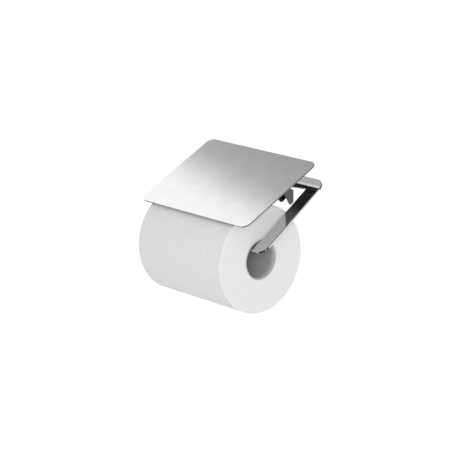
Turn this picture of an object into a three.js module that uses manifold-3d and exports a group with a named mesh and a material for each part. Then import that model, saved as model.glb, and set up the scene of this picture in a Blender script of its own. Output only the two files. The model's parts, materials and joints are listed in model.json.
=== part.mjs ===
// Wall-mounted toilet paper holder with a hinged flat cover, shown with a full roll.
// Millimetres, +Z up. The wall is the plane Y = 0 and the object stands out towards -Y.
// The origin is the centre of the wall plate's back face.

import * as THREE from 'three';
import { mergeVertices } from 'three/addons/utils/BufferGeometryUtils.js';
import Module from 'manifold-3d';

const wasm = await Module();
wasm.setup();

// ---------------------------------------------------------------- driving dimensions

const GAP = 0.3; // between pieces that touch
const FIT = 0.2; // round a screw, pin or bush in its hole
const CUT = 1.0; // how far a cutting tool runs past the surface it opens
const SEGMENTS = 24; // round a small turned piece
const ARC_STEPS = 8; // along one rounded corner

const ROLL = { radius: 49.3, left: -57.5, right: 53.2, axisY: -72.1, axisZ: -50.8 };
const CORE = { bore: 17.45, wall: 0.9 };
const ROLL_SEGMENTS = 72;

// The bar is one flat strip. Its top face is a plane that falls towards the front.
const BAR = {
  tilt: THREE.MathUtils.degToRad(34.57),
  frontY: -85.4, // the top face's front edge
  frontZ: -40.0,
  depth: 94.0, // front edge to back edge, along the slope
  thickness: 2.4,
  edge: 0.5, // worn-off corner of the strip
  armInner: 54.8, // the arm's side that faces the roll
  armWidth: 14.0,
  rollBarWidth: 10.0,
  backWidth: 13.0, // of the back bar beside the arm
  backWidthAtMount: 16.0,
  frontCorner: 10.0,
  backCorner: 10.5,
  innerCorner: 2.0,
  freeEnd: -62.5,
  lipHeight: 5.5,
  lipThickness: 2.5,
};

const MOUNT = {
  halfWidth: 19.4,
  wallZ: -16.5, // where its underside meets the wall
  heelY: -4.8,
  heelZ: -19.0,
  heelRound: 1.2,
  faceSlope: 1.679, // rise of the slanted front face for each mm forwards
  uprightDepth: 5.3,
  uprightTop: 18.6,
  uprightHalfWidth: 14.6,
  shoulderDepth: 5.8, // the foot steps in to the upright's width above a shoulder
  shoulderZ: -5.0,
  shoulderSlope: 0.5, // rise for each mm forwards
  lugHalfWidth: 9.0,
  lugRadius: 3.8,
  lugRootZ: 14.9,
};

// The wall plate is an upside-down T that fills the pocket in the mount's back.
const PLATE = {
  halfWidth: 13.3,
  footHalfWidth: 17.1,
  bottom: -11.2,
  footTop: -6.1,
  top: 11.2,
  thickness: 3.0,
  corner: 1.5,
};
const POCKET_DEPTH = 3.6;
const WALL_SCREW = {
  offsetZ: 6.5,
  shank: 1.9,
  head: 3.9,
  headDepth: 2.0,
  rim: 0.3,
  slotLength: 4.0,
  slotWidth: 0.9,
  slotDepth: 1.0,
};
const LOCK_SCREW = {
  x: 14.0,
  aboveHeel: 4.1, // measured forwards from the heel
  shank: 1.4,
  length: 5.5,
  head: 2.6,
  headHeight: 3.0,
  headEdge: 0.35,
  socket: 1.35,
  socketDepth: 1.6,
};
const BAR_SCREW = {
  x: 9.0,
  inset: 3.6,
  shank: 1.4,
  head: 2.4,
  headDepth: 1.6,
  grip: 3.6, // mount metal under the bar that the screw passes through
  bite: 1.5, // into the bar
  accessLength: 12.0, // the head's hole, open into the pocket at the back
  socket: 1.1,
  socketDepth: 0.9,
};

const HINGE = { y: -18.7, z: 22.1, earInner: 10.0, earThickness: 2.0, earRadius: 4.0 };
const PIN = { radius: 1.6, grooveRadius: 1.15, overhang: 1.0 };
const BUSH = { wall: 0.85, flangeRadius: 3.9, flange: 0.5 };
const CLIP = { outer: 3.1, thickness: 0.7, opening: 1.6 };

const COVER = {
  tilt: THREE.MathUtils.degToRad(27.0),
  width: 142.2,
  depth: 97.6,
  thickness: 1.2,
  corner: 7.5,
  aboveHinge: 10.07, // the top face, measured square to the sheet
  behindHinge: 2.6, // the rear edge, measured along the sheet
  edge: 0.25,
};
const BRACKET = { front: -17.0, earFront: -13.0, rear: 1.8, thickness: 1.5, earRoot: 0.5 };

// ---------------------------------------------------------------- materials

function metal(color, roughness) {
  return new THREE.MeshStandardMaterial({ color, roughness, metalness: 1.0 });
}

function plain(color, roughness) {
  return new THREE.MeshStandardMaterial({ color, roughness, metalness: 0.0 });
}

const chrome = metal(0xd8dadc, 0.06);
const satinChrome = metal(0xc4c6c8, 0.22);
const zincSteel = metal(0x9fa3a6, 0.45);
const blackSteel = metal(0x1b1c1e, 0.4);
const nylon = plain(0xe6e4dc, 0.5);
const cardboard = plain(0x9a968f, 0.95);
const paper = plain(0xf2f2f0, 0.98);

// ---------------------------------------------------------------- geometry helpers

function welded(geometry) {
  const bare = geometry.clone();
  bare.deleteAttribute('normal');
  bare.deleteAttribute('uv');
  return mergeVertices(bare, 1e-4);
}

function toSolid(geometry) {
  const g = welded(geometry);
  const mesh = new wasm.Mesh({
    numProp: 3,
    vertProperties: new Float32Array(g.attributes.position.array),
    triVerts: new Uint32Array(g.index.array),
  });
  return new wasm.Manifold(mesh);
}

function fromSolid(solid) {
  const mesh = solid.getMesh();
  const g = new THREE.BufferGeometry();
  g.setAttribute('position', new THREE.BufferAttribute(new Float32Array(mesh.vertProperties), 3));
  g.setIndex(new THREE.BufferAttribute(new Uint32Array(mesh.triVerts), 1));
  const flat = g.toNonIndexed();
  flat.computeVertexNormals();
  return flat;
}

// Joins the first geometry with `added` and takes `removed` away.
function carve(base, added, removed) {
  let solid = toSolid(base);
  for (const g of added) {
    solid = solid.add(toSolid(g));
  }
  for (const g of removed) {
    solid = solid.subtract(toSolid(g));
  }
  return fromSolid(solid);
}

function extrude(shape, depth, edge = 0) {
  const g = new THREE.ExtrudeGeometry(shape, {
    depth: depth - 2 * edge,
    curveSegments: ARC_STEPS,
    bevelEnabled: edge > 0,
    bevelThickness: edge,
    bevelSize: edge,
    bevelOffset: -edge,
    bevelSegments: 1,
  });
  g.translate(0, 0, edge);
  return g;
}

// A side profile drawn in (Y, Z) and run along X.
function extrudeAlongX(profile, x0, x1) {
  const g = extrude(profile, x1 - x0);
  const axes = new THREE.Matrix4().makeBasis(
    new THREE.Vector3(0, 1, 0),
    new THREE.Vector3(0, 0, 1),
    new THREE.Vector3(1, 0, 0),
  );
  g.applyMatrix4(axes);
  g.translate(x0, 0, 0);
  return g;
}

function box(x0, x1, y0, y1, z0, z1) {
  const g = new THREE.BoxGeometry(x1 - x0, y1 - y0, z1 - z0);
  g.translate((x0 + x1) / 2, (y0 + y1) / 2, (z0 + z1) / 2);
  return g;
}

function roundedRectangle(x0, x1, y0, y1, r) {
  const s = new THREE.Shape();
  s.moveTo(x0 + r, y0);
  s.lineTo(x1 - r, y0);
  s.absarc(x1 - r, y0 + r, r, -Math.PI / 2, 0, false);
  s.lineTo(x1, y1 - r);
  s.absarc(x1 - r, y1 - r, r, 0, Math.PI / 2, false);
  s.lineTo(x0 + r, y1);
  s.absarc(x0 + r, y1 - r, r, Math.PI / 2, Math.PI, false);
  s.lineTo(x0, y0 + r);
  s.absarc(x0 + r, y0 + r, r, Math.PI, 1.5 * Math.PI, false);
  return s;
}

// A turned piece: [radius, height] pairs from the axis back to the axis, or a closed ring.
// Its own axis is Z, and the heights rise.
function turned(pairs, segments = SEGMENTS) {
  const points = pairs.map(([r, h]) => new THREE.Vector2(r, h));
  const g = new THREE.LatheGeometry(points, segments);
  g.rotateX(Math.PI / 2);
  return g;
}

// A matrix that sets a turned piece's axis along `direction` with its base at `point`.
function along(direction, point) {
  const turn = new THREE.Quaternion().setFromUnitVectors(new THREE.Vector3(0, 0, 1), direction);
  return new THREE.Matrix4().compose(point, turn, new THREE.Vector3(1, 1, 1));
}

function rod(radius, h0, h1, segments = SEGMENTS) {
  return turned([[0, h0], [radius, h0], [radius, h1], [0, h1]], segments);
}

function tube(inner, outer, length, segments) {
  return turned([[inner, 0], [outer, 0], [outer, length], [inner, length], [inner, 0]], segments);
}

const X_AXIS = new THREE.Vector3(1, 0, 0);

function mesh(name, geometry, material) {
  const m = new THREE.Mesh(geometry, material);
  m.name = name;
  return m;
}

function group(...children) {
  const g = new THREE.Group();
  g.add(...children);
  return g;
}

const SIDES = [['left', -1], ['right', 1]];

function onBothSides(makePiece) {
  return SIDES.map(([name, side]) => makePiece(name, side));
}

// ---------------------------------------------------------------- the bar's plane

const barNormal = new THREE.Vector3(0, -Math.sin(BAR.tilt), Math.cos(BAR.tilt));
const barSlope = Math.tan(BAR.tilt);

// Height of the plane that lies `below` the bar's top face, above a given Y.
function barPlaneZ(y, below) {
  return BAR.frontZ + (y - BAR.frontY) * barSlope - below / Math.cos(BAR.tilt);
}

// A point on the bar's underside, `inset` in from its back edge.
function barUndersidePoint(x, inset) {
  const s = BAR.depth - inset;
  const top = new THREE.Vector3(
    x,
    BAR.frontY + s * Math.cos(BAR.tilt),
    BAR.frontZ + s * Math.sin(BAR.tilt),
  );
  return top.addScaledVector(barNormal, -BAR.thickness);
}

// ---------------------------------------------------------------- wall plate and its screws

const wallScrewTop = PLATE.thickness - FIT;

function wallScrew() {
  const { shank, head, headDepth, rim, slotLength, slotWidth, slotDepth } = WALL_SCREW;
  const screw = turned([
    [0, 0],
    [shank, 0],
    [shank, wallScrewTop - headDepth],
    [head, wallScrewTop - rim],
    [head, wallScrewTop],
    [0, wallScrewTop],
  ]);
  const floor = wallScrewTop - slotDepth;
  const roof = wallScrewTop + CUT;
  const long = slotLength / 2;
  const wide = slotWidth / 2;
  const cross = [box(-long, long, -wide, wide, floor, roof), box(-wide, wide, -long, long, floor, roof)];
  return carve(screw, [], cross);
}

function wallPlate() {
  const { halfWidth, footHalfWidth, bottom, footTop, top, thickness, corner } = PLATE;
  const { shank, head, headDepth, rim, offsetZ } = WALL_SCREW;
  const stem = extrude(roundedRectangle(-halfWidth, halfWidth, bottom, top, corner), thickness);
  const foot = extrude(roundedRectangle(-footHalfWidth, footHalfWidth, bottom, footTop, corner), thickness);
  const holes = [-offsetZ, offsetZ].map((y) => {
    const hole = turned([
      [0, -CUT],
      [shank + GAP, -CUT],
      [shank + GAP, wallScrewTop - headDepth],
      [head + GAP, wallScrewTop - rim],
      [head + GAP, thickness + CUT],
      [0, thickness + CUT],
    ]);
    hole.translate(0, y, 0);
    return hole;
  });
  return carve(stem, [foot], holes);
}

function wallFixing() {
  const upper = mesh('wall_screw_upper', wallScrew(), zincSteel);
  upper.position.y = WALL_SCREW.offsetZ;
  const lower = mesh('wall_screw_lower', wallScrew(), zincSteel);
  lower.position.y = -WALL_SCREW.offsetZ;
  const fixing = group(mesh('wall_plate', wallPlate(), zincSteel), upper, lower);
  fixing.rotation.x = Math.PI / 2; // built lying down, its thickness then runs to -Y
  return fixing;
}

// ---------------------------------------------------------------- mount body

// The slanted front face of the wedge foot runs from the heel up to the bar's underside.
function frontFaceZ(y) {
  return MOUNT.heelZ + (MOUNT.heelY - y) * MOUNT.faceSlope;
}

function wedgeProfile() {
  const below = BAR.thickness + GAP;
  const reach = barPlaneZ(0, below);
  const tipY = (frontFaceZ(0) - reach) / (barSlope + MOUNT.faceSlope);
  const r = MOUNT.heelRound;
  const undersideSlope = (MOUNT.wallZ - MOUNT.heelZ) / -MOUNT.heelY;
  const s = new THREE.Shape();
  s.moveTo(0, MOUNT.wallZ);
  s.lineTo(0, barPlaneZ(-MOUNT.uprightDepth, below));
  s.lineTo(-MOUNT.uprightDepth, barPlaneZ(-MOUNT.uprightDepth, below));
  s.lineTo(tipY, barPlaneZ(tipY, below));
  s.lineTo(MOUNT.heelY - r, frontFaceZ(MOUNT.heelY - r));
  s.quadraticCurveTo(MOUNT.heelY, MOUNT.heelZ, MOUNT.heelY + r, MOUNT.heelZ + r * undersideSlope);
  return s;
}

// The lug reaches forwards from the upright to the pin, below the space the cover swings through.
function lugProfile() {
  const { lugRadius, lugRootZ, uprightTop } = MOUNT;
  const lowest = THREE.MathUtils.degToRad(-105);
  const highest = THREE.MathUtils.degToRad(-18);
  const rootY = -MOUNT.uprightDepth / 2;
  const s = new THREE.Shape();
  s.moveTo(rootY, lugRootZ);
  s.lineTo(rootY, uprightTop);
  s.lineTo(-MOUNT.uprightDepth, uprightTop);
  s.lineTo(HINGE.y + lugRadius * Math.cos(highest), HINGE.z + lugRadius * Math.sin(highest));
  s.absarc(HINGE.y, HINGE.z, lugRadius, highest, lowest, false);
  s.lineTo(-MOUNT.uprightDepth, lugRootZ);
  return s;
}

// The cut that leaves the shoulder at one end of the foot.
function shoulderCut(side) {
  const { shoulderDepth, shoulderZ, shoulderSlope, uprightTop, uprightHalfWidth, halfWidth } = MOUNT;
  const s = new THREE.Shape();
  s.moveTo(CUT, shoulderZ - CUT * shoulderSlope);
  s.lineTo(CUT, uprightTop);
  s.lineTo(-shoulderDepth, uprightTop);
  s.lineTo(-shoulderDepth, shoulderZ + shoulderDepth * shoulderSlope);
  const ends = [side * uprightHalfWidth, side * (halfWidth + CUT)];
  return extrudeAlongX(s, Math.min(...ends), Math.max(...ends));
}

function pocket(halfWidth, bottom, top) {
  return box(-halfWidth - GAP, halfWidth + GAP, -POCKET_DEPTH, CUT, bottom - GAP, top + GAP);
}

function lockScrewBase(x) {
  const y = MOUNT.heelY - LOCK_SCREW.aboveHeel;
  return new THREE.Vector3(x, y, frontFaceZ(y));
}

const lockScrewDirection = new THREE.Vector3(0, -MOUNT.faceSlope, -1).normalize();

function mountBody() {
  const { halfWidth, uprightHalfWidth, uprightDepth, uprightTop, lugHalfWidth } = MOUNT;
  const wedge = extrudeAlongX(wedgeProfile(), -halfWidth, halfWidth);
  const upright = box(-uprightHalfWidth, uprightHalfWidth, -uprightDepth, 0, 0, uprightTop);
  const lug = extrudeAlongX(lugProfile(), -lugHalfWidth, lugHalfWidth);

  const pinHole = rod(PIN.radius + FIT, -lugHalfWidth - CUT, lugHalfWidth + CUT);
  pinHole.applyMatrix4(along(X_AXIS, new THREE.Vector3(0, HINGE.y, HINGE.z)));
  const removed = [
    pocket(PLATE.halfWidth, PLATE.bottom, PLATE.top),
    pocket(PLATE.footHalfWidth, PLATE.bottom, PLATE.footTop),
    pinHole,
  ];

  for (const [, side] of SIDES) {
    removed.push(shoulderCut(side));

    const lockHole = rod(LOCK_SCREW.shank + FIT, -LOCK_SCREW.length - CUT, CUT);
    lockHole.applyMatrix4(along(lockScrewDirection, lockScrewBase(side * LOCK_SCREW.x)));
    removed.push(lockHole);

    const { shank, head, grip, accessLength } = BAR_SCREW;
    const start = barUndersidePoint(side * BAR_SCREW.x, BAR_SCREW.inset);
    const down = barNormal.clone().negate();
    for (const hole of [rod(shank + GAP, -CUT, grip + CUT), rod(head + GAP, grip, grip + accessLength)]) {
      hole.applyMatrix4(along(down, start));
      removed.push(hole);
    }
  }
  return carve(wedge, [upright, lug], removed);
}

function lockScrew(name, side) {
  const { shank, length, head, headHeight, headEdge, socket, socketDepth, x } = LOCK_SCREW;
  const top = GAP + headHeight;
  const screw = turned([
    [0, -length],
    [shank, -length],
    [shank, GAP],
    [head, GAP],
    [head, top - headEdge],
    [head - headEdge, top],
    [0, top],
  ]);
  const hexSocket = rod(socket, top - socketDepth, top + CUT, 6);
  const m = mesh(`lock_screw_${name}`, carve(screw, [], [hexSocket]), blackSteel);
  m.applyMatrix4(along(lockScrewDirection, lockScrewBase(side * x)));
  return m;
}

function barScrew(name, side) {
  const { shank, head, headDepth, grip, bite, x, inset, socket, socketDepth } = BAR_SCREW;
  const shoulder = grip + GAP;
  const end = shoulder + headDepth;
  const screw = turned([
    [0, -bite],
    [shank, -bite],
    [shank, shoulder],
    [head, shoulder],
    [head, end],
    [0, end],
  ]);
  const hexSocket = rod(socket, end - socketDepth, end + CUT, 6);
  const m = mesh(`bar_screw_${name}`, carve(screw, [], [hexSocket]), zincSteel);
  m.applyMatrix4(along(barNormal.clone().negate(), barUndersidePoint(side * x, inset)));
  return m;
}

// ---------------------------------------------------------------- the holder bar

// Outline of the strip's top face: X across, Y up the slope from the front edge.
function barOutline() {
  const outer = BAR.armInner + BAR.armWidth;
  const backInner = BAR.depth - BAR.backWidth;
  const mountInner = BAR.depth - BAR.backWidthAtMount;
  const { frontCorner, backCorner, innerCorner, rollBarWidth, freeEnd, armInner, depth } = BAR;
  const s = new THREE.Shape();
  s.moveTo(freeEnd, 0);
  s.lineTo(outer - frontCorner, 0);
  s.absarc(outer - frontCorner, frontCorner, frontCorner, -Math.PI / 2, 0, false);
  s.lineTo(outer, depth - backCorner);
  s.absarc(outer - backCorner, depth - backCorner, backCorner, 0, Math.PI / 2, false);
  s.lineTo(-MOUNT.halfWidth, depth);
  s.lineTo(-MOUNT.halfWidth, mountInner);
  s.lineTo(MOUNT.halfWidth, mountInner);
  s.lineTo(armInner, backInner);
  s.lineTo(armInner, rollBarWidth + innerCorner);
  s.absarc(armInner - innerCorner, rollBarWidth + innerCorner, innerCorner, 0, -Math.PI / 2, true);
  s.lineTo(freeEnd, rollBarWidth);
  return s;
}

function holderBar() {
  const strip = extrude(barOutline(), BAR.thickness, BAR.edge);
  strip.translate(0, 0, -BAR.thickness);
  const lip = box(
    BAR.freeEnd,
    BAR.freeEnd + BAR.lipThickness,
    BAR.edge,
    BAR.rollBarWidth - BAR.edge,
    -BAR.thickness + BAR.edge,
    BAR.lipHeight,
  );
  const holes = SIDES.map(([, side]) => {
    const hole = rod(BAR_SCREW.shank + FIT, -BAR.thickness - CUT, -BAR.thickness + BAR_SCREW.bite + FIT);
    hole.translate(side * BAR_SCREW.x, BAR.depth - BAR_SCREW.inset, 0);
    return hole;
  });
  const m = mesh('holder_bar', carve(strip, [lip], holes), chrome);
  m.position.set(0, BAR.frontY, BAR.frontZ);
  m.rotation.x = BAR.tilt;
  return m;
}

// ---------------------------------------------------------------- hinge

const earOuter = HINGE.earInner + HINGE.earThickness;
const clipStart = earOuter + GAP;
const clipEnd = clipStart + CLIP.thickness;

function hingePin() {
  const { radius, grooveRadius, overhang } = PIN;
  const end = clipEnd + overhang;
  const grooveStart = clipStart - FIT;
  const grooveEnd = clipEnd + FIT;
  const pin = turned([
    [0, -end],
    [radius, -end],
    [radius, -grooveEnd],
    [grooveRadius, -grooveEnd],
    [grooveRadius, -grooveStart],
    [radius, -grooveStart],
    [radius, grooveStart],
    [grooveRadius, grooveStart],
    [grooveRadius, grooveEnd],
    [radius, grooveEnd],
    [radius, end],
    [0, end],
  ]);
  pin.applyMatrix4(along(X_AXIS, new THREE.Vector3()));
  return mesh('hinge_pin', pin, zincSteel);
}

function pinClip(name, side) {
  const { outer, thickness, opening } = CLIP;
  const start = side > 0 ? clipStart : -clipEnd;
  const ring = tube(PIN.grooveRadius + FIT, outer, thickness, SEGMENTS);
  const mouth = box(-outer - CUT, 0, -opening / 2, opening / 2, -CUT, thickness + CUT);
  const clip = carve(ring, [], [mouth]);
  clip.applyMatrix4(along(X_AXIS, new THREE.Vector3(start, 0, 0)));
  return mesh(`pin_clip_${name}`, clip, zincSteel);
}

const bushBore = PIN.radius + FIT;
const bushOuter = bushBore + BUSH.wall;

function hingeBush(name, side) {
  const { flangeRadius, flange } = BUSH;
  const start = HINGE.earInner - FIT - flange;
  const bush = turned([
    [bushBore, start],
    [flangeRadius, start],
    [flangeRadius, start + flange],
    [bushOuter, start + flange],
    [bushOuter, earOuter],
    [bushBore, earOuter],
    [bushBore, start],
  ]);
  bush.applyMatrix4(along(new THREE.Vector3(side, 0, 0), new THREE.Vector3()));
  return mesh(`hinge_bush_${name}`, bush, nylon);
}

// ---------------------------------------------------------------- cover, drawn about the hinge axis

function coverPlate() {
  const rear = COVER.behindHinge;
  const half = COVER.width / 2;
  const outline = roundedRectangle(-half, half, rear - COVER.depth, rear, COVER.corner);
  const plate = extrude(outline, COVER.thickness, COVER.edge);
  plate.translate(0, 0, COVER.aboveHinge - COVER.thickness);
  return mesh('cover_plate', plate, satinChrome);
}

function earProfile(top) {
  const r = HINGE.earRadius;
  const s = new THREE.Shape();
  s.moveTo(BRACKET.rear, top);
  s.absarc(0, 0, r, 0, -Math.PI, true);
  s.lineTo(BRACKET.earFront, top);
  return s;
}

function coverBracket() {
  const top = COVER.aboveHinge - COVER.thickness - GAP;
  const under = top - BRACKET.thickness;
  const flange = box(-earOuter, earOuter, BRACKET.front, BRACKET.rear, under, top);
  const ears = [];
  const holes = [];
  for (const [, side] of SIDES) {
    const x0 = side > 0 ? HINGE.earInner : -earOuter;
    ears.push(extrudeAlongX(earProfile(under + BRACKET.earRoot), x0, x0 + HINGE.earThickness));
    const hole = rod(bushOuter + FIT, HINGE.earInner - CUT, earOuter + CUT);
    hole.applyMatrix4(along(new THREE.Vector3(side, 0, 0), new THREE.Vector3()));
    holes.push(hole);
  }
  return mesh('cover_bracket', carve(flange, ears, holes), satinChrome);
}

function cover() {
  const g = group(coverPlate(), coverBracket(), ...onBothSides(hingeBush));
  g.position.set(0, HINGE.y, HINGE.z);
  g.rotation.x = COVER.tilt;
  return g;
}

// ---------------------------------------------------------------- paper roll

function roll() {
  const length = ROLL.right - ROLL.left;
  const coreOuter = CORE.bore + CORE.wall;
  const core = mesh('core_tube', tube(CORE.bore, coreOuter, length, ROLL_SEGMENTS), cardboard);
  const wound = mesh('paper_roll', tube(coreOuter + GAP, ROLL.radius, length, ROLL_SEGMENTS), paper);
  const g = group(core, wound);
  g.applyMatrix4(along(X_AXIS, new THREE.Vector3(ROLL.left, ROLL.axisY, ROLL.axisZ)));
  return g;
}

// ---------------------------------------------------------------- the whole holder

function hinge() {
  const g = group(hingePin(), ...onBothSides(pinClip));
  g.position.set(0, HINGE.y, HINGE.z);
  return g;
}

const holder = group(
  wallFixing(),
  mesh('mount_body', mountBody(), chrome),
  ...onBothSides(lockScrew),
  holderBar(),
  ...onBothSides(barScrew),
  hinge(),
  cover(),
  roll(),
);

export default holder;
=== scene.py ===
"""Looks of a toilet paper holder with a hinged flat cover and a full roll, built round the CAD model."""

import json
import math

import bmesh
import bpy
from mathutils import Matrix, Vector, noise


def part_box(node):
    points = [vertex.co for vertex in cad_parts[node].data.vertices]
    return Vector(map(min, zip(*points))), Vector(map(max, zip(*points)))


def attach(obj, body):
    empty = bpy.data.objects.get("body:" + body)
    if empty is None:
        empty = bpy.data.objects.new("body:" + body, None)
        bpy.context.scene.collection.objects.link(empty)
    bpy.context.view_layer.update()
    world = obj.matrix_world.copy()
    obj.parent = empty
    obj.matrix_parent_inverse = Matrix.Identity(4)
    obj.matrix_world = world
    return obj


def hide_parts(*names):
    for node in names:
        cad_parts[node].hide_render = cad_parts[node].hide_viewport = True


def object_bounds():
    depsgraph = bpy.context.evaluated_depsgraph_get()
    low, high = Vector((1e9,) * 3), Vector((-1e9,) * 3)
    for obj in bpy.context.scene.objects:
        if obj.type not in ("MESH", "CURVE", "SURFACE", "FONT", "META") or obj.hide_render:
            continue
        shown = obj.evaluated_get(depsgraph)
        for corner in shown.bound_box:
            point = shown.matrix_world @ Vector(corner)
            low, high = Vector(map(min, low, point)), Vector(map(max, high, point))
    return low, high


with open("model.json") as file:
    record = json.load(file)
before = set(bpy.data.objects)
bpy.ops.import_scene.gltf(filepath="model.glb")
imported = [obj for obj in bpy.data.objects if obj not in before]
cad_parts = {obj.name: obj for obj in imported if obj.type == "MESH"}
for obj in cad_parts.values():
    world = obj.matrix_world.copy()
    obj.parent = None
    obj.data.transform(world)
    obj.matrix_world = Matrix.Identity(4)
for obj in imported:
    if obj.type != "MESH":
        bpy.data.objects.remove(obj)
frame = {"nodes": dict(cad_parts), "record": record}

CAD_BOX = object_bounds()
MM = 0.001
MICRON = 0.001 * MM

# ---------------------------------------------------------------- camera

CAMERA_AZIMUTH = math.radians(47.783)
CAMERA_ELEVATION = math.radians(14.767)
CAMERA_DISTANCE = 1719.6 * MM
CAMERA_LENS = 148.70
AIM_FROM_CENTRE = Vector((2.2, -2.3, -1.2)) * MM
SENSOR_WIDTH = 36.0
CENTRE = (CAD_BOX[0] + CAD_BOX[1]) / 2


def make_camera():
    """A long lens a little above the object, looking at its right front corner."""
    back = Vector((
        math.sin(CAMERA_AZIMUTH) * math.cos(CAMERA_ELEVATION),
        -math.cos(CAMERA_AZIMUTH) * math.cos(CAMERA_ELEVATION),
        math.sin(CAMERA_ELEVATION),
    ))
    data = bpy.data.cameras.new("camera")
    data.sensor_width = SENSOR_WIDTH
    data.lens = CAMERA_LENS
    data.clip_start = 0.05
    data.clip_end = 50.0
    camera = bpy.data.objects.new("camera", data)
    camera.location = CENTRE + AIM_FROM_CENTRE + back * CAMERA_DISTANCE
    camera.rotation_euler = (-back).to_track_quat("-Z", "Y").to_euler()
    bpy.context.scene.collection.objects.link(camera)
    bpy.context.scene.camera = camera
    return camera.location.copy()


EYE = make_camera()

# ---------------------------------------------------------------- shader helpers


def add_node(tree, kind, settings=None, **inputs):
    """A new node with its settings and the values of its inputs."""
    node = tree.nodes.new(kind)
    for key, value in (settings or {}).items():
        setattr(node, key, value)
    for key, value in inputs.items():
        node.inputs[key.replace("_", " ")].default_value = value
    return node


def new_material(name, metallic, roughness):
    """A material with its node tree and its Principled shader."""
    material = bpy.data.materials.new(name)
    material.use_nodes = True
    tree = material.node_tree
    shader = tree.nodes["Principled BSDF"]
    shader.inputs["Metallic"].default_value = metallic
    shader.inputs["Roughness"].default_value = roughness
    return material, tree, shader


def coordinates(tree, stretch=(1.0, 1.0, 1.0)):
    """Points of the piece in metres, multiplied by the stretch."""
    source = add_node(tree, "ShaderNodeTexCoord")
    mapping = add_node(tree, "ShaderNodeMapping", Scale=stretch)
    tree.links.new(source.outputs["Object"], mapping.inputs["Vector"])
    return mapping.outputs["Vector"]


def noise_at(tree, vector, scale, detail):
    """Noise from 0 to 1 at these points."""
    node = add_node(tree, "ShaderNodeTexNoise", Scale=scale, Detail=detail)
    tree.links.new(vector, node.inputs["Vector"])
    return node.outputs["Fac"]


def between(tree, factor, low, high, first, last):
    """A number that goes from first to last as the factor goes from low to high."""
    node = add_node(tree, "ShaderNodeMapRange")
    for key, value in (("From Min", low), ("From Max", high), ("To Min", first), ("To Max", last)):
        node.inputs[key].default_value = value
    tree.links.new(factor, node.inputs["Value"])
    return node.outputs["Result"]


def ramp(tree, factor, stops):
    """A colour that follows the factor through (position, colour) stops."""
    node = add_node(tree, "ShaderNodeValToRGB")
    elements = node.color_ramp.elements
    while len(elements) < len(stops):
        elements.new(0.5)
    for element, (position, colour) in zip(elements, stops):
        element.position = position
        element.color = (*colour, 1.0)
    tree.links.new(factor, node.inputs["Fac"])
    return node.outputs["Color"]


def add_bump(tree, shader, layers):
    """Relief from (height, depth in metres) layers, each laid over the one before."""
    below = None
    for height, depth in layers:
        bump = add_node(tree, "ShaderNodeBump", Strength=1.0, Distance=depth)
        tree.links.new(height, bump.inputs["Height"])
        if below is not None:
            tree.links.new(below, bump.inputs["Normal"])
        below = bump.outputs["Normal"]
    tree.links.new(below, shader.inputs["Normal"])


def grey(value):
    """A neutral colour of this brightness."""
    return (value, value, value)


# ---------------------------------------------------------------- materials


def plated_metal(name, light, dark, smooth, dull, ripple):
    """Chrome plate: faint waviness under the plate, and cloudy marks that dull it a little."""
    material, tree, shader = new_material(name, 1.0, smooth)
    points = coordinates(tree)
    clouds = noise_at(tree, points, 55.0, 4.0)
    tree.links.new(ramp(tree, clouds, [(0.3, light), (0.75, dark)]), shader.inputs["Base Color"])
    smears = noise_at(tree, coordinates(tree, (18.0, 60.0, 60.0)), 1.0, 5.0)
    tree.links.new(between(tree, smears, 0.35, 0.75, smooth, dull), shader.inputs["Roughness"])
    waves = noise_at(tree, points, 130.0, 2.0)
    grains = noise_at(tree, points, 2600.0, 2.0)
    add_bump(tree, shader, [(waves, ripple), (grains, 0.06 * ripple)])
    return material


def chrome():
    """The bar's and the mount's polished plate."""
    return plated_metal("chrome", grey(0.60), grey(0.55), 0.03, 0.07, 1.2 * MICRON)


def cover_chrome():
    """The cover's plate is a little softer than the bar, so that what it reflects runs together."""
    return plated_metal("cover_chrome", grey(0.60), grey(0.56), 0.1, 0.15, 0.8 * MICRON)


def underside_painted_shade():
    """The cover's underside: plated and hardly polished, with its colour darkened far below chrome as painted
    shade for the shade under the cover.
    """
    return plated_metal("underside_painted_shade", grey(0.22), grey(0.18), 0.28, 0.36, 2.5 * MICRON)


def dull_steel(name, light, dark, smooth, dull):
    """Zinc plate or black oxide: a crystalline pattern, patches and a fine matt grain."""
    material, tree, shader = new_material(name, 1.0, smooth)
    points = coordinates(tree)
    spangle = add_node(tree, "ShaderNodeTexVoronoi", Scale=900.0)
    tree.links.new(points, spangle.inputs["Vector"])
    tree.links.new(ramp(tree, spangle.outputs["Distance"], [(0.1, light), (0.8, dark)]),
                   shader.inputs["Base Color"])
    patches = noise_at(tree, points, 400.0, 4.0)
    tree.links.new(between(tree, patches, 0.3, 0.7, smooth, dull), shader.inputs["Roughness"])
    add_bump(tree, shader, [(noise_at(tree, points, 3000.0, 2.0), 4.0 * MICRON)])
    return material


def nylon():
    """The hinge bushes' natural plastic, mottled and a little translucent."""
    material, tree, shader = new_material("nylon", 0.0, 0.45)
    points = coordinates(tree)
    mottle = noise_at(tree, points, 500.0, 3.0)
    tree.links.new(ramp(tree, mottle, [(0.3, (0.80, 0.79, 0.75)), (0.7, (0.72, 0.71, 0.67))]),
                   shader.inputs["Base Color"])
    shader.inputs["Subsurface Weight"].default_value = 0.2
    shader.inputs["Subsurface Radius"].default_value = (1.0 * MM,) * 3
    add_bump(tree, shader, [(noise_at(tree, points, 2500.0, 2.0), 6.0 * MICRON)])
    return material


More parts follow.
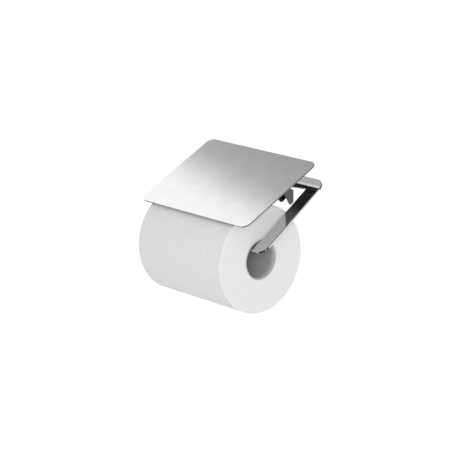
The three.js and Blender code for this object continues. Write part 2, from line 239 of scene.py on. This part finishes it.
def from_axis(tree, points):
    """Distance of each point from the roll's axis, in metres, and the spoke that leads to it."""
    centre = add_node(tree, "ShaderNodeVectorMath", {"operation": "SUBTRACT"})
    centre.inputs[1].default_value = ROLL_AXIS
    flat = add_node(tree, "ShaderNodeVectorMath", {"operation": "MULTIPLY"})
    flat.inputs[1].default_value = (0.0, 1.0, 1.0)
    length = add_node(tree, "ShaderNodeVectorMath", {"operation": "LENGTH"})
    tree.links.new(points, centre.inputs[0])
    tree.links.new(centre.outputs["Vector"], flat.inputs[0])
    tree.links.new(flat.outputs["Vector"], length.inputs[0])
    return length.outputs["Value"], flat.outputs["Vector"]


def tissue(name):
    """Soft matt paper with a faint sheen of loose fibres."""
    material, tree, shader = new_material(name, 0.0, 0.95)
    shader.inputs["Sheen Weight"].default_value = 0.15
    shader.inputs["Sheen Roughness"].default_value = 0.6
    shader.inputs["Specular IOR Level"].default_value = 0.15
    return material, tree, shader, coordinates(tree)


def tissue_side():
    """The sheet's face: denser and thinner patches, and creping lines that run along the roll."""
    material, tree, shader, points = tissue("tissue_side")
    patches = noise_at(tree, points, 240.0, 5.0)
    tone = ramp(tree, patches, [(0.3, grey(PAPER_TONE)), (0.75, grey(THIN_PAPER * PAPER_TONE))])
    tree.links.new(tone, shader.inputs["Base Color"])
    crepe = noise_at(tree, coordinates(tree, (350.0, 1700.0, 1700.0)), 1.0, 3.0)
    fibres = noise_at(tree, points, 1500.0, 3.0)
    add_bump(tree, shader, [(crepe, 35.0 * MICRON), (fibres, 20.0 * MICRON)])
    return material


def tissue_end():
    """The wound edge: many layers that lie in uneven rings."""
    material, tree, shader, points = tissue("tissue_end")
    distance, _ = from_axis(tree, points)
    drift = noise_at(tree, points, 90.0, 2.0)
    shifted = add_node(tree, "ShaderNodeMath", {"operation": "MULTIPLY_ADD"})
    shifted.inputs[1].default_value = RING_DRIFT
    tree.links.new(drift, shifted.inputs[0])
    tree.links.new(distance, shifted.inputs[2])
    rings = add_node(tree, "ShaderNodeTexNoise", {"noise_dimensions": "1D"}, Scale=2400.0, Detail=3.0)
    tree.links.new(shifted.outputs["Value"], rings.inputs["W"])
    dark, light = grey(THIN_PAPER * PAPER_END_TONE), grey(PAPER_END_TONE)
    tree.links.new(ramp(tree, rings.outputs["Fac"], [(0.3, dark), (0.6, light)]), shader.inputs["Base Color"])
    fibres = noise_at(tree, points, 1800.0, 3.0)
    add_bump(tree, shader, [(rings.outputs["Fac"], 90.0 * MICRON), (fibres, 30.0 * MICRON)])
    return material


def cardboard():
    """Grey board wound in a spiral: a seam that climbs round the tube, and flecks of recycled fibre."""
    material, tree, shader = new_material("cardboard", 0.0, 0.9)
    points = coordinates(tree)
    _, spoke = from_axis(tree, points)
    parts = add_node(tree, "ShaderNodeSeparateXYZ")
    tree.links.new(spoke, parts.inputs["Vector"])
    angle = add_node(tree, "ShaderNodeMath", {"operation": "ARCTAN2"})
    tree.links.new(parts.outputs["Z"], angle.inputs[0])
    tree.links.new(parts.outputs["Y"], angle.inputs[1])
    turns = add_node(tree, "ShaderNodeMath", {"operation": "MULTIPLY"})
    turns.inputs[1].default_value = 1.0 / math.tau
    tree.links.new(angle.outputs["Value"], turns.inputs[0])
    place = add_node(tree, "ShaderNodeSeparateXYZ")
    tree.links.new(points, place.inputs["Vector"])
    spiral = add_node(tree, "ShaderNodeMath", {"operation": "MULTIPLY_ADD"})
    spiral.inputs[1].default_value = 1.0 / SEAM_PITCH
    tree.links.new(place.outputs["X"], spiral.inputs[0])
    tree.links.new(turns.outputs["Value"], spiral.inputs[2])
    seam = add_node(tree, "ShaderNodeMath", {"operation": "FRACT"})
    tree.links.new(spiral.outputs["Value"], seam.inputs[0])
    step = between(tree, seam.outputs["Value"], 0.0, SEAM_SHARE, 0.0, 1.0)

    flecks = noise_at(tree, points, 700.0, 6.0)
    board = ramp(tree, flecks, [(0.3, grey(0.44)), (0.55, grey(0.50)), (0.8, grey(0.55))])
    joined = add_node(tree, "ShaderNodeMix", {"data_type": "RGBA", "blend_type": "MULTIPLY"})
    joined.inputs[0].default_value = 1.0
    tree.links.new(board, joined.inputs[6])
    tree.links.new(ramp(tree, step, [(0.0, grey(0.55)), (1.0, grey(1.0))]), joined.inputs[7])
    tree.links.new(joined.outputs[2], shader.inputs["Base Color"])
    shader.inputs["Specular IOR Level"].default_value = 0.2
    add_bump(tree, shader, [(step, 120.0 * MICRON), (flecks, 40.0 * MICRON)])
    return material


PAPER_TONE = 0.83
PAPER_END_TONE = 0.84
THIN_PAPER = 0.95  # tone of the thinner patches and of the gaps between layers, as a share
RING_DRIFT = 0.35 * MM
SEAM_PITCH = 62.0 * MM
SEAM_SHARE = 0.012
PAPER_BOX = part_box("paper_roll")
CORE_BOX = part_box("core_tube")
ROLL_JOINT = next(j for j in frame["record"]["behaviour"]["joints"] if j["name"] == "roll_spin")
ROLL_AXIS = Vector(ROLL_JOINT["pos_m"])

FINISHES = {
    "chrome": chrome(),
    "cover_chrome": cover_chrome(),
    # painted shade: the underside finish is darkened to stand in for the shade under the cover
    "underside_painted_shade": underside_painted_shade(),
    "zinc_steel": dull_steel("zinc_steel", grey(0.66), grey(0.52), 0.32, 0.48),
    "black_steel": dull_steel("black_steel", grey(0.03), grey(0.015), 0.3, 0.42),
    "nylon": nylon(),
}

# ---------------------------------------------------------------- metal and plastic pieces

SAME_POINT = 2 * MICRON
FLAT_WITHIN = math.radians(0.5)
SHARP_EDGE = math.radians(30.0)


def refined(node, body, slot, bevel):
    """The CAD piece with its flat faces joined and its edges rounded, standing for the CAD node."""
    mesh = frame["nodes"][node].data.copy()
    mesh.materials.clear()
    mesh.materials.append(FINISHES[slot])
    bm = bmesh.new()
    bm.from_mesh(mesh)
    bmesh.ops.remove_doubles(bm, verts=bm.verts, dist=SAME_POINT)
    bmesh.ops.dissolve_limit(bm, angle_limit=FLAT_WITHIN, verts=bm.verts, edges=bm.edges)
    for face in bm.faces:
        face.smooth = True
        face.material_index = 0
    bm.to_mesh(mesh)
    bm.free()
    piece = bpy.data.objects.new(node + "_fine", mesh)
    bpy.context.scene.collection.objects.link(piece)
    rounding = piece.modifiers.new("rounding", "BEVEL")
    rounding.width = bevel
    rounding.segments = 3
    rounding.limit_method = "ANGLE"
    rounding.angle_limit = SHARP_EDGE
    rounding.use_clamp_overlap = True
    piece.modifiers.new("flat faces stay flat", "WEIGHTED_NORMAL").weight = 100
    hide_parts(node)
    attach(piece, body)


PIECES = [
    # node, body, slot, rounding of its edges
    ("holder_bar", "wall_mount", "chrome", 0.25 * MM),
    ("mount_body", "wall_mount", "chrome", 0.3 * MM),
    ("cover_plate", "cover", "cover_chrome", 0.1 * MM),
    ("cover_bracket", "cover", "cover_chrome", 0.2 * MM),
    ("wall_plate", "wall_mount", "zinc_steel", 0.2 * MM),
    ("wall_screw_upper", "wall_mount", "zinc_steel", 0.08 * MM),
    ("wall_screw_lower", "wall_mount", "zinc_steel", 0.08 * MM),
    ("bar_screw_left", "wall_mount", "zinc_steel", 0.1 * MM),
    ("bar_screw_right", "wall_mount", "zinc_steel", 0.1 * MM),
    ("lock_screw_left", "wall_mount", "black_steel", 0.12 * MM),
    ("lock_screw_right", "wall_mount", "black_steel", 0.12 * MM),
    ("hinge_pin", "wall_mount", "zinc_steel", 0.12 * MM),
    ("pin_clip_left", "wall_mount", "zinc_steel", 0.08 * MM),
    ("pin_clip_right", "wall_mount", "zinc_steel", 0.08 * MM),
    ("hinge_bush_left", "cover", "nylon", 0.1 * MM),
    ("hinge_bush_right", "cover", "nylon", 0.1 * MM),
]
for entry in PIECES:
    refined(*entry)


FACES_DOWN = -0.5  # upward component of the normal, the cover lying in its rest position


def dull_and_shade_underside(piece):
    """Gives the faces that look down the unpolished finish, whose dark colour is painted shade."""
    piece.data.materials.append(FINISHES["underside_painted_shade"])
    for polygon in piece.data.polygons:
        if polygon.normal.z < FACES_DOWN:
            polygon.material_index = 1


# painted shade: the cover's downward faces get the darkened underside finish
dull_and_shade_underside(bpy.data.objects["cover_plate_fine"])

# ---------------------------------------------------------------- paper roll and core

RIM_STEPS = 4


def lathe(name, profile, angles, place, materials):
    """A closed ring round the roll's axis. Profile: (x, radius, material index)."""
    bm = bmesh.new()
    rows = [[bm.verts.new(place(x, radius, angle)) for angle in angles] for x, radius, _ in profile]
    count = len(angles)
    for i, row in enumerate(rows):
        after = rows[(i + 1) % len(rows)]
        for j in range(count):
            k = (j + 1) % count
            face = bm.faces.new((row[j], row[k], after[k], after[j]))
            face.smooth = True
            face.material_index = profile[i][2]
    bmesh.ops.recalc_face_normals(bm, faces=bm.faces)
    mesh = bpy.data.meshes.new(name)
    bm.to_mesh(mesh)
    bm.free()
    for material in materials:
        mesh.materials.append(material)
    piece = bpy.data.objects.new(name, mesh)
    bpy.context.scene.collection.objects.link(piece)
    return piece


def steps(start, end, count):
    """Count values from start towards end, without end."""
    return [start + (end - start) * i / count for i in range(count)]


def ring_profile(left, right, inner, outer, rim, rings, stations, side, end):
    """Round one wall of a tube: bore, right end, outside, left end. Side and end are material indices."""
    profile = [(x, inner, side) for x in steps(left, right, stations // 2)]
    profile += [(right, r, end) for r in steps(inner, outer - rim, rings)]
    for turn in steps(0.0, math.pi / 2, RIM_STEPS):
        profile.append((right - rim + rim * math.cos(turn), outer - rim + rim * math.sin(turn), side))
    profile += [(x, outer, side) for x in steps(right - rim, left + rim, stations)]
    for turn in steps(0.0, math.pi / 2, RIM_STEPS):
        profile.append((left + rim - rim * math.sin(turn), outer - rim + rim * math.cos(turn), side))
    profile += [(left, r, end) for r in steps(outer - rim, inner, rings)]
    return profile


SHEET_END = math.radians(-62.0)  # where the outer sheet stops, behind and below
SHEET_END_WIDTH = 0.1 * MM
SHEET_STEP = 0.22 * MM
LAYER_DRIFT = 0.22 * MM
SIDE_WOBBLE = 0.16 * MM
EDGE_ONLY = 8  # power that keeps the layers' drift to the roll's ends
PAPER_RIM = 0.7 * MM
PAPER_ANGLES = 256
CORE_GAP = 0.08 * MM
CORE_WALL = 0.9 * MM
CORE_RIM = 0.2 * MM
CORE_ANGLES = 128
OUT_OF_ROUND = 0.06 * MM


def spoke_at(angle):
    """The direction from the roll's axis at this angle, from +Y upward."""
    return Vector((0.0, math.cos(angle), math.sin(angle)))


def uneven(first, spoke, first_scale, spoke_scale, shift=0.0):
    """Noise from -1 to 1 that varies with one measure and round the roll."""
    return noise.noise(Vector((first * first_scale, spoke.y * spoke_scale, spoke.z * spoke_scale + shift)))


def paper_point(x, radius, angle):
    """A point of the wound paper: the spiral's step, dents in the side, layers in and out at the ends."""
    low, high = PAPER_BOX
    outer = (high.z - low.z) / 2
    inner = (CORE_BOX[1].z - CORE_BOX[0].z) / 2
    depth = (radius - inner) / (outer - inner)
    wound = ((angle - SHEET_END) % math.tau) / math.tau
    direction = spoke_at(angle)
    dents = uneven(x, direction, 22.0, 1.6)
    creases = uneven(x, direction, 60.0, 9.0)
    radius -= max(depth, 0.0) * (SHEET_STEP * wound + SIDE_WOBBLE * (1.0 + dents + 0.35 * creases) / 2)
    end = (x - (low.x + high.x) / 2) / ((high.x - low.x) / 2)
    layers = uneven(radius, direction, 420.0, 0.7, end)
    ripple = uneven(radius, direction, 1500.0, 2.0, end)
    drift = LAYER_DRIFT * (1.2 + layers + 0.5 * ripple) / 2
    x -= math.copysign(1.0, end) * drift * abs(end) ** EDGE_ONLY
    return Vector((x, ROLL_AXIS.y, ROLL_AXIS.z)) + direction * radius


def paper_roll():
    """The wound paper, closed round the core, with the outer sheet's end as a small step."""
    low, high = PAPER_BOX
    outer = (high.z - low.z) / 2
    inner = (CORE_BOX[1].z - CORE_BOX[0].z) / 2 + CORE_GAP
    profile = ring_profile(low.x, high.x, inner, outer, PAPER_RIM, rings=46, stations=56, side=0, end=1)
    angles = [SHEET_END + math.tau * j / PAPER_ANGLES for j in range(PAPER_ANGLES)]
    angles.append(SHEET_END - SHEET_END_WIDTH / outer)
    piece = lathe("paper_roll_wound", profile, angles, paper_point, [tissue_side(), tissue_end()])
    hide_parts("paper_roll")
    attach(piece, "roll")


def core_point(x, radius, angle):
    """A point of the core, very slightly out of round."""
    radius -= OUT_OF_ROUND * (1.0 + math.cos(2 * angle + 0.6)) / 2
    return Vector((x, ROLL_AXIS.y, ROLL_AXIS.z)) + spoke_at(angle) * radius


def core_tube():
    """The cardboard tube, one wall thick."""
    low, high = CORE_BOX
    outer = (high.z - low.z) / 2
    inner = outer - CORE_WALL
    profile = ring_profile(low.x, high.x, inner, outer, CORE_RIM, rings=4, stations=40, side=0, end=0)
    angles = [math.tau * j / CORE_ANGLES for j in range(CORE_ANGLES)]
    piece = lathe("core_tube_spiral", profile, angles, core_point, [cardboard()])
    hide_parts("core_tube")
    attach(piece, "roll")


paper_roll()
core_tube()

# ---------------------------------------------------------------- studio

BACKDROP_LIGHT = 1.1
SECOND_BOUNCE_LIGHT = 0.06  # what a reflection in a reflection sees, so the gaps between the pieces stay dark
RIGHTWARD_LIGHT = 0.28
FLOOR_DROP = 0.30
FLOOR_SIZE = 30.0
FLOOR_GLOW = 0.42
LIGHT_DISTANCE = 1.5
FILL_SIZE = 0.5
FILL_POWER = 6.0
SIDE_SIZE = 0.2
SIDE_POWER = 3.0
COVER_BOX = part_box("cover_plate")
BAR_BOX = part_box("holder_bar")
MOUNT_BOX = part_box("mount_body")
BAR_TILT = math.radians(34.57)
COVER_TILT = math.radians(27.0)
COVER_UP = Vector((0.0, -math.sin(COVER_TILT), math.cos(COVER_TILT)))
RIGHT = Vector((1.0, 0.0, 0.0))
REARWARD = Vector((0.0, 1.0, 0.0))


def world_ramp(tree, direction, axis, stops):
    """A colour that depends on one component of the direction, from -1 to 1."""
    return ramp(tree, between(tree, direction.outputs[axis], -1.0, 1.0, 0.0, 1.0), stops)


def blend_colours(tree, kind, factor, first, second):
    """Mixes two colours. The factor and the second colour may be a value or a socket."""
    node = add_node(tree, "ShaderNodeMix", {"data_type": "RGBA", "blend_type": kind})
    for socket, value in ((node.inputs[0], factor), (node.inputs[6], first), (node.inputs[7], second)):
        if isinstance(value, bpy.types.NodeSocket):
            tree.links.new(value, socket)
        else:
            socket.default_value = value
    return node.outputs[2]


def make_world():
    """A white studio: soft light on the paper, and dark and bright parts that only metal mirrors."""
    world = bpy.data.worlds.new("studio")
    bpy.context.scene.world = world
    world.use_nodes = True
    tree = world.node_tree
    source = add_node(tree, "ShaderNodeTexCoord")
    direction = add_node(tree, "ShaderNodeSeparateXYZ")
    tree.links.new(source.outputs["Generated"], direction.inputs["Vector"])
    height = world_ramp(tree, direction, "Z", [
        (0.0, grey(0.86)), (0.42, grey(0.64)), (0.55, grey(0.44)), (1.0, grey(0.72)),
    ])
    front = world_ramp(tree, direction, "Y", [(0.0, grey(0.16)), (0.5, grey(0.0))])
    soft = blend_colours(tree, "ADD", 1.0, height, front)
    above = world_ramp(tree, direction, "Z", [
        (0.36, grey(0.7)), (0.42, grey(0.5)), (0.5, grey(0.2)),
        (0.6, grey(0.35)), (0.78, grey(1.0)), (1.0, grey(1.5)),
    ])
    below = world_ramp(tree, direction, "Y", [(0.515, grey(0.03)), (0.555, grey(1.8))])
    rightward = between(tree, direction.outputs["X"], -0.45, -0.25, 0.0, 1.0)
    above = blend_colours(tree, "MIX", rightward, above, (*grey(RIGHTWARD_LIGHT), 1.0))
    low = between(tree, direction.outputs["Z"], -0.35, -0.25, 1.0, 0.0)
    mirrored = blend_colours(tree, "MIX", low, above, below)
    path = add_node(tree, "ShaderNodeLightPath")
    deep = between(tree, path.outputs["Glossy Depth"], 1.0, 2.0, 0.0, 1.0)
    mirrored = blend_colours(tree, "MIX", deep, mirrored, (*grey(SECOND_BOUNCE_LIGHT), 1.0))
    lit = blend_colours(tree, "MIX", path.outputs["Is Glossy Ray"], soft, mirrored)
    seen = blend_colours(tree, "MIX", path.outputs["Is Camera Ray"], lit, (*grey(BACKDROP_LIGHT), 1.0))
    tree.links.new(seen, tree.nodes["Background"].inputs["Color"])
    settings = bpy.context.scene.view_settings
    settings.view_transform = "Standard"
    settings.look = "None"


def plane(name, centre, normal, upward, width, height):
    """A flat rectangle whose local Z is its normal and local Y is as near to upward as it can be."""
    normal = normal.normalized()
    across = upward.cross(normal).normalized()
    bm = bmesh.new()
    bmesh.ops.create_grid(bm, x_segments=2, y_segments=2, size=0.5)
    mesh = bpy.data.meshes.new(name)
    bm.to_mesh(mesh)
    bm.free()
    obj = bpy.data.objects.new(name, mesh)
    obj.matrix_world = (
        Matrix.Translation(centre)
        @ Matrix((across, normal.cross(across), normal)).transposed().to_4x4()
        @ Matrix.Diagonal((width, height, 1.0, 1.0))
    )
    bpy.context.scene.collection.objects.link(obj)
    return obj


def make_floor():
    """A plain pale floor that only the camera sees."""
    place = Vector((0.0, 0.0, CAD_BOX[0].z - FLOOR_DROP))
    floor = plane("floor", place, Vector((0.0, 0.0, 1.0)), REARWARD, FLOOR_SIZE, FLOOR_SIZE)
    floor.visible_diffuse = False
    floor.visible_glossy = False
    material, tree, shader = new_material("floor_paint", 0.0, 0.8)
    dust = noise_at(tree, coordinates(tree), 3.0, 3.0)
    tree.links.new(ramp(tree, dust, [(0.3, grey(0.92)), (0.7, grey(0.94))]), shader.inputs["Base Color"])
    shader.inputs["Specular IOR Level"].default_value = 0.0
    shader.inputs["Emission Color"].default_value = (1.0, 1.0, 1.0, 1.0)
    shader.inputs["Emission Strength"].default_value = FLOOR_GLOW
    floor.data.materials.append(material)


def make_card(name, centre, normal, upward, width, height, stops):
    """A studio card that only the shiny parts see. Its tone follows the stops up its height."""
    card = plane(name, centre, normal, upward, width, height)
    card.visible_camera = False
    card.visible_diffuse = False
    card.visible_transmission = False
    card.visible_shadow = False
    material = bpy.data.materials.new(name)
    material.use_nodes = True
    tree = material.node_tree
    tree.nodes.clear()
    glow = add_node(tree, "ShaderNodeEmission", Strength=1.0)
    output = add_node(tree, "ShaderNodeOutputMaterial")
    tree.links.new(glow.outputs["Emission"], output.inputs["Surface"])
    source = add_node(tree, "ShaderNodeTexCoord")
    parts = add_node(tree, "ShaderNodeSeparateXYZ")
    tree.links.new(source.outputs["Object"], parts.inputs["Vector"])
    share = between(tree, parts.outputs["Y"], -0.5, 0.5, 0.0, 1.0)
    tree.links.new(ramp(tree, share, [(place, grey(tone)) for place, tone in stops]), glow.inputs["Color"])
    card.data.materials.append(material)


def mirrored_ray(point, normal):
    """Where the camera looks when it sees this point of a mirror."""
    ray = (point - EYE).normalized()
    return ray - 2 * ray.dot(normal) * normal


FADE_LEFT = 0.32  # share of the cover's depth, from the rear, where its left edge turns from grey to white
FADE_RIGHT = 0.67  # the same at its right edge
OVERHEAD_DISTANCE = 0.22
OVERHEAD_SIZE = (0.60, 0.60)


def cover_point(across, back_to_front):
    """A point of the cover's top, by its share from the left and from the rear."""
    low, high = COVER_BOX
    rear = Vector((0.0, high.y, high.z))
    front = Vector((0.0, low.y, low.z))
    return rear.lerp(front, back_to_front) + Vector((low.x + (high.x - low.x) * across, 0.0, 0.0))


def overhead_card():
    """A large card above, grey at the rear and white at the front, that the cover's top reflects."""
    seen = [p + mirrored_ray(p, COVER_UP) * OVERHEAD_DISTANCE
            for p in (cover_point(0.0, FADE_LEFT), cover_point(1.0, FADE_RIGHT))]
    middle = (seen[0] + seen[1]) / 2
    normal = -mirrored_ray(cover_point(0.5, 0.5), COVER_UP)
    along = (seen[1] - seen[0]).normalized()
    rearward = normal.cross(along)
    if rearward.y < 0:
        rearward = -rearward
    width, height = OVERHEAD_SIZE
    make_card("card_overhead", middle, normal, rearward, width, height, [
        (0.38, 1.60), (0.45, 1.53), (0.475, 1.30), (0.5, 0.96),
        (0.525, 0.71), (0.56, 0.62), (0.6, 0.56), (1.0, 0.48),
    ])


SIDE_CARD_DISTANCE = 0.3
SIDE_CARD_SIZE = (0.6, 0.5)


def side_card():
    """Dark, off the right side, with one light strip along the arm, so that the arm's edge stands out."""
    middle = (BAR_BOX[0] + BAR_BOX[1]) / 2
    arm = Vector((BAR_BOX[1].x, middle.y, middle.z))
    away = mirrored_ray(arm, RIGHT)
    slope = Vector((0.0, math.cos(BAR_TILT), math.sin(BAR_TILT)))
    across = slope.cross(away)
    if across.z < 0:
        across = -across
    width, height = SIDE_CARD_SIZE
    make_card("card_side", arm + away * SIDE_CARD_DISTANCE, -away, across, width, height, [
        (0.44, 0.19), (0.475, 0.26), (0.485, 1.2), (0.515, 1.3), (0.525, 0.2), (0.54, 0.1),
    ])


COVER_THICKNESS = 1.4 * MM
FLAG_OVERLAP = 1.5 * MM
FLAG_DEPTH = 8.8 * MM
FLAG_DARK_DEPTH = 6.6 * MM
FLAG_WIDTH = 57.0 * MM
FLAG_X = 16.5 * MM
FLAG_BLACK = 0.02
FLAG_WHITE = 1.1
END_FLAG_SIZE = (10.0 * MM, 13.0 * MM)
END_FLAG_X = 50.0 * MM
END_FLAG_BEHIND = 5.0 * MM


def rear_flags():
    """Two small flags in line with the cover's underside, behind its rear edge. The back bar mirrors them."""
    rearward = Vector((0.0, math.cos(COVER_TILT), math.sin(COVER_TILT)))
    edge = cover_point(0.5, 0.0) - COVER_THICKNESS * COVER_UP
    dark = FLAG_DARK_DEPTH / FLAG_DEPTH
    stops = [(0.0, FLAG_BLACK), (dark, FLAG_BLACK), (dark + 0.05, FLAG_WHITE), (1.0, FLAG_WHITE)]
    place = edge + rearward * (FLAG_DEPTH / 2 - FLAG_OVERLAP) + RIGHT * FLAG_X
    make_card("card_flag", place, -COVER_UP, rearward, FLAG_WIDTH, FLAG_DEPTH, stops)
    place = edge + rearward * END_FLAG_BEHIND + RIGHT * END_FLAG_X
    width, height = END_FLAG_SIZE
    stops = [(0.0, FLAG_BLACK), (1.0, FLAG_BLACK)]
    make_card("card_flag_end", place, -COVER_UP, rearward, width, height, stops)


MOUNT_CARD_PLACE = Vector((-5.0, -10.0, -12.0)) * MM  # from the wall, below the mount's lowest point
MOUNT_CARD_SIZE = (60.0 * MM, 12.0 * MM)
MOUNT_CARD_TONE = 1.6


def mount_card():
    """A small white card under the mount that its slanted face reflects."""
    place = Vector((0.0, 0.0, MOUNT_BOX[0].z)) + MOUNT_CARD_PLACE
    width, height = MOUNT_CARD_SIZE
    stops = [(0.0, MOUNT_CARD_TONE), (1.0, MOUNT_CARD_TONE)]
    make_card("card_mount", place, Vector((0.7, 0.0, 0.7)), REARWARD, width, height, stops)


def make_light(name, direction, size, power):
    """A soft round light that looks at the object from one direction, and that no reflection shows."""
    data = bpy.data.lights.new(name, "AREA")
    data.shape = "DISK"
    data.size = size
    data.energy = power
    light = bpy.data.objects.new(name, data)
    light.location = CENTRE + direction * LIGHT_DISTANCE
    light.rotation_euler = (-direction).to_track_quat("-Z", "Y").to_euler()
    light.visible_glossy = False
    bpy.context.scene.collection.objects.link(light)


def make_lights():
    """One light from the camera's side reaches into the core. One from the right lights the roll's end."""
    make_light("fill", (EYE - CENTRE).normalized(), FILL_SIZE, FILL_POWER)
    make_light("side_light", RIGHT, SIDE_SIZE, SIDE_POWER)


make_world()
make_floor()
overhead_card()
side_card()
rear_flags()
mount_card()
make_lights()
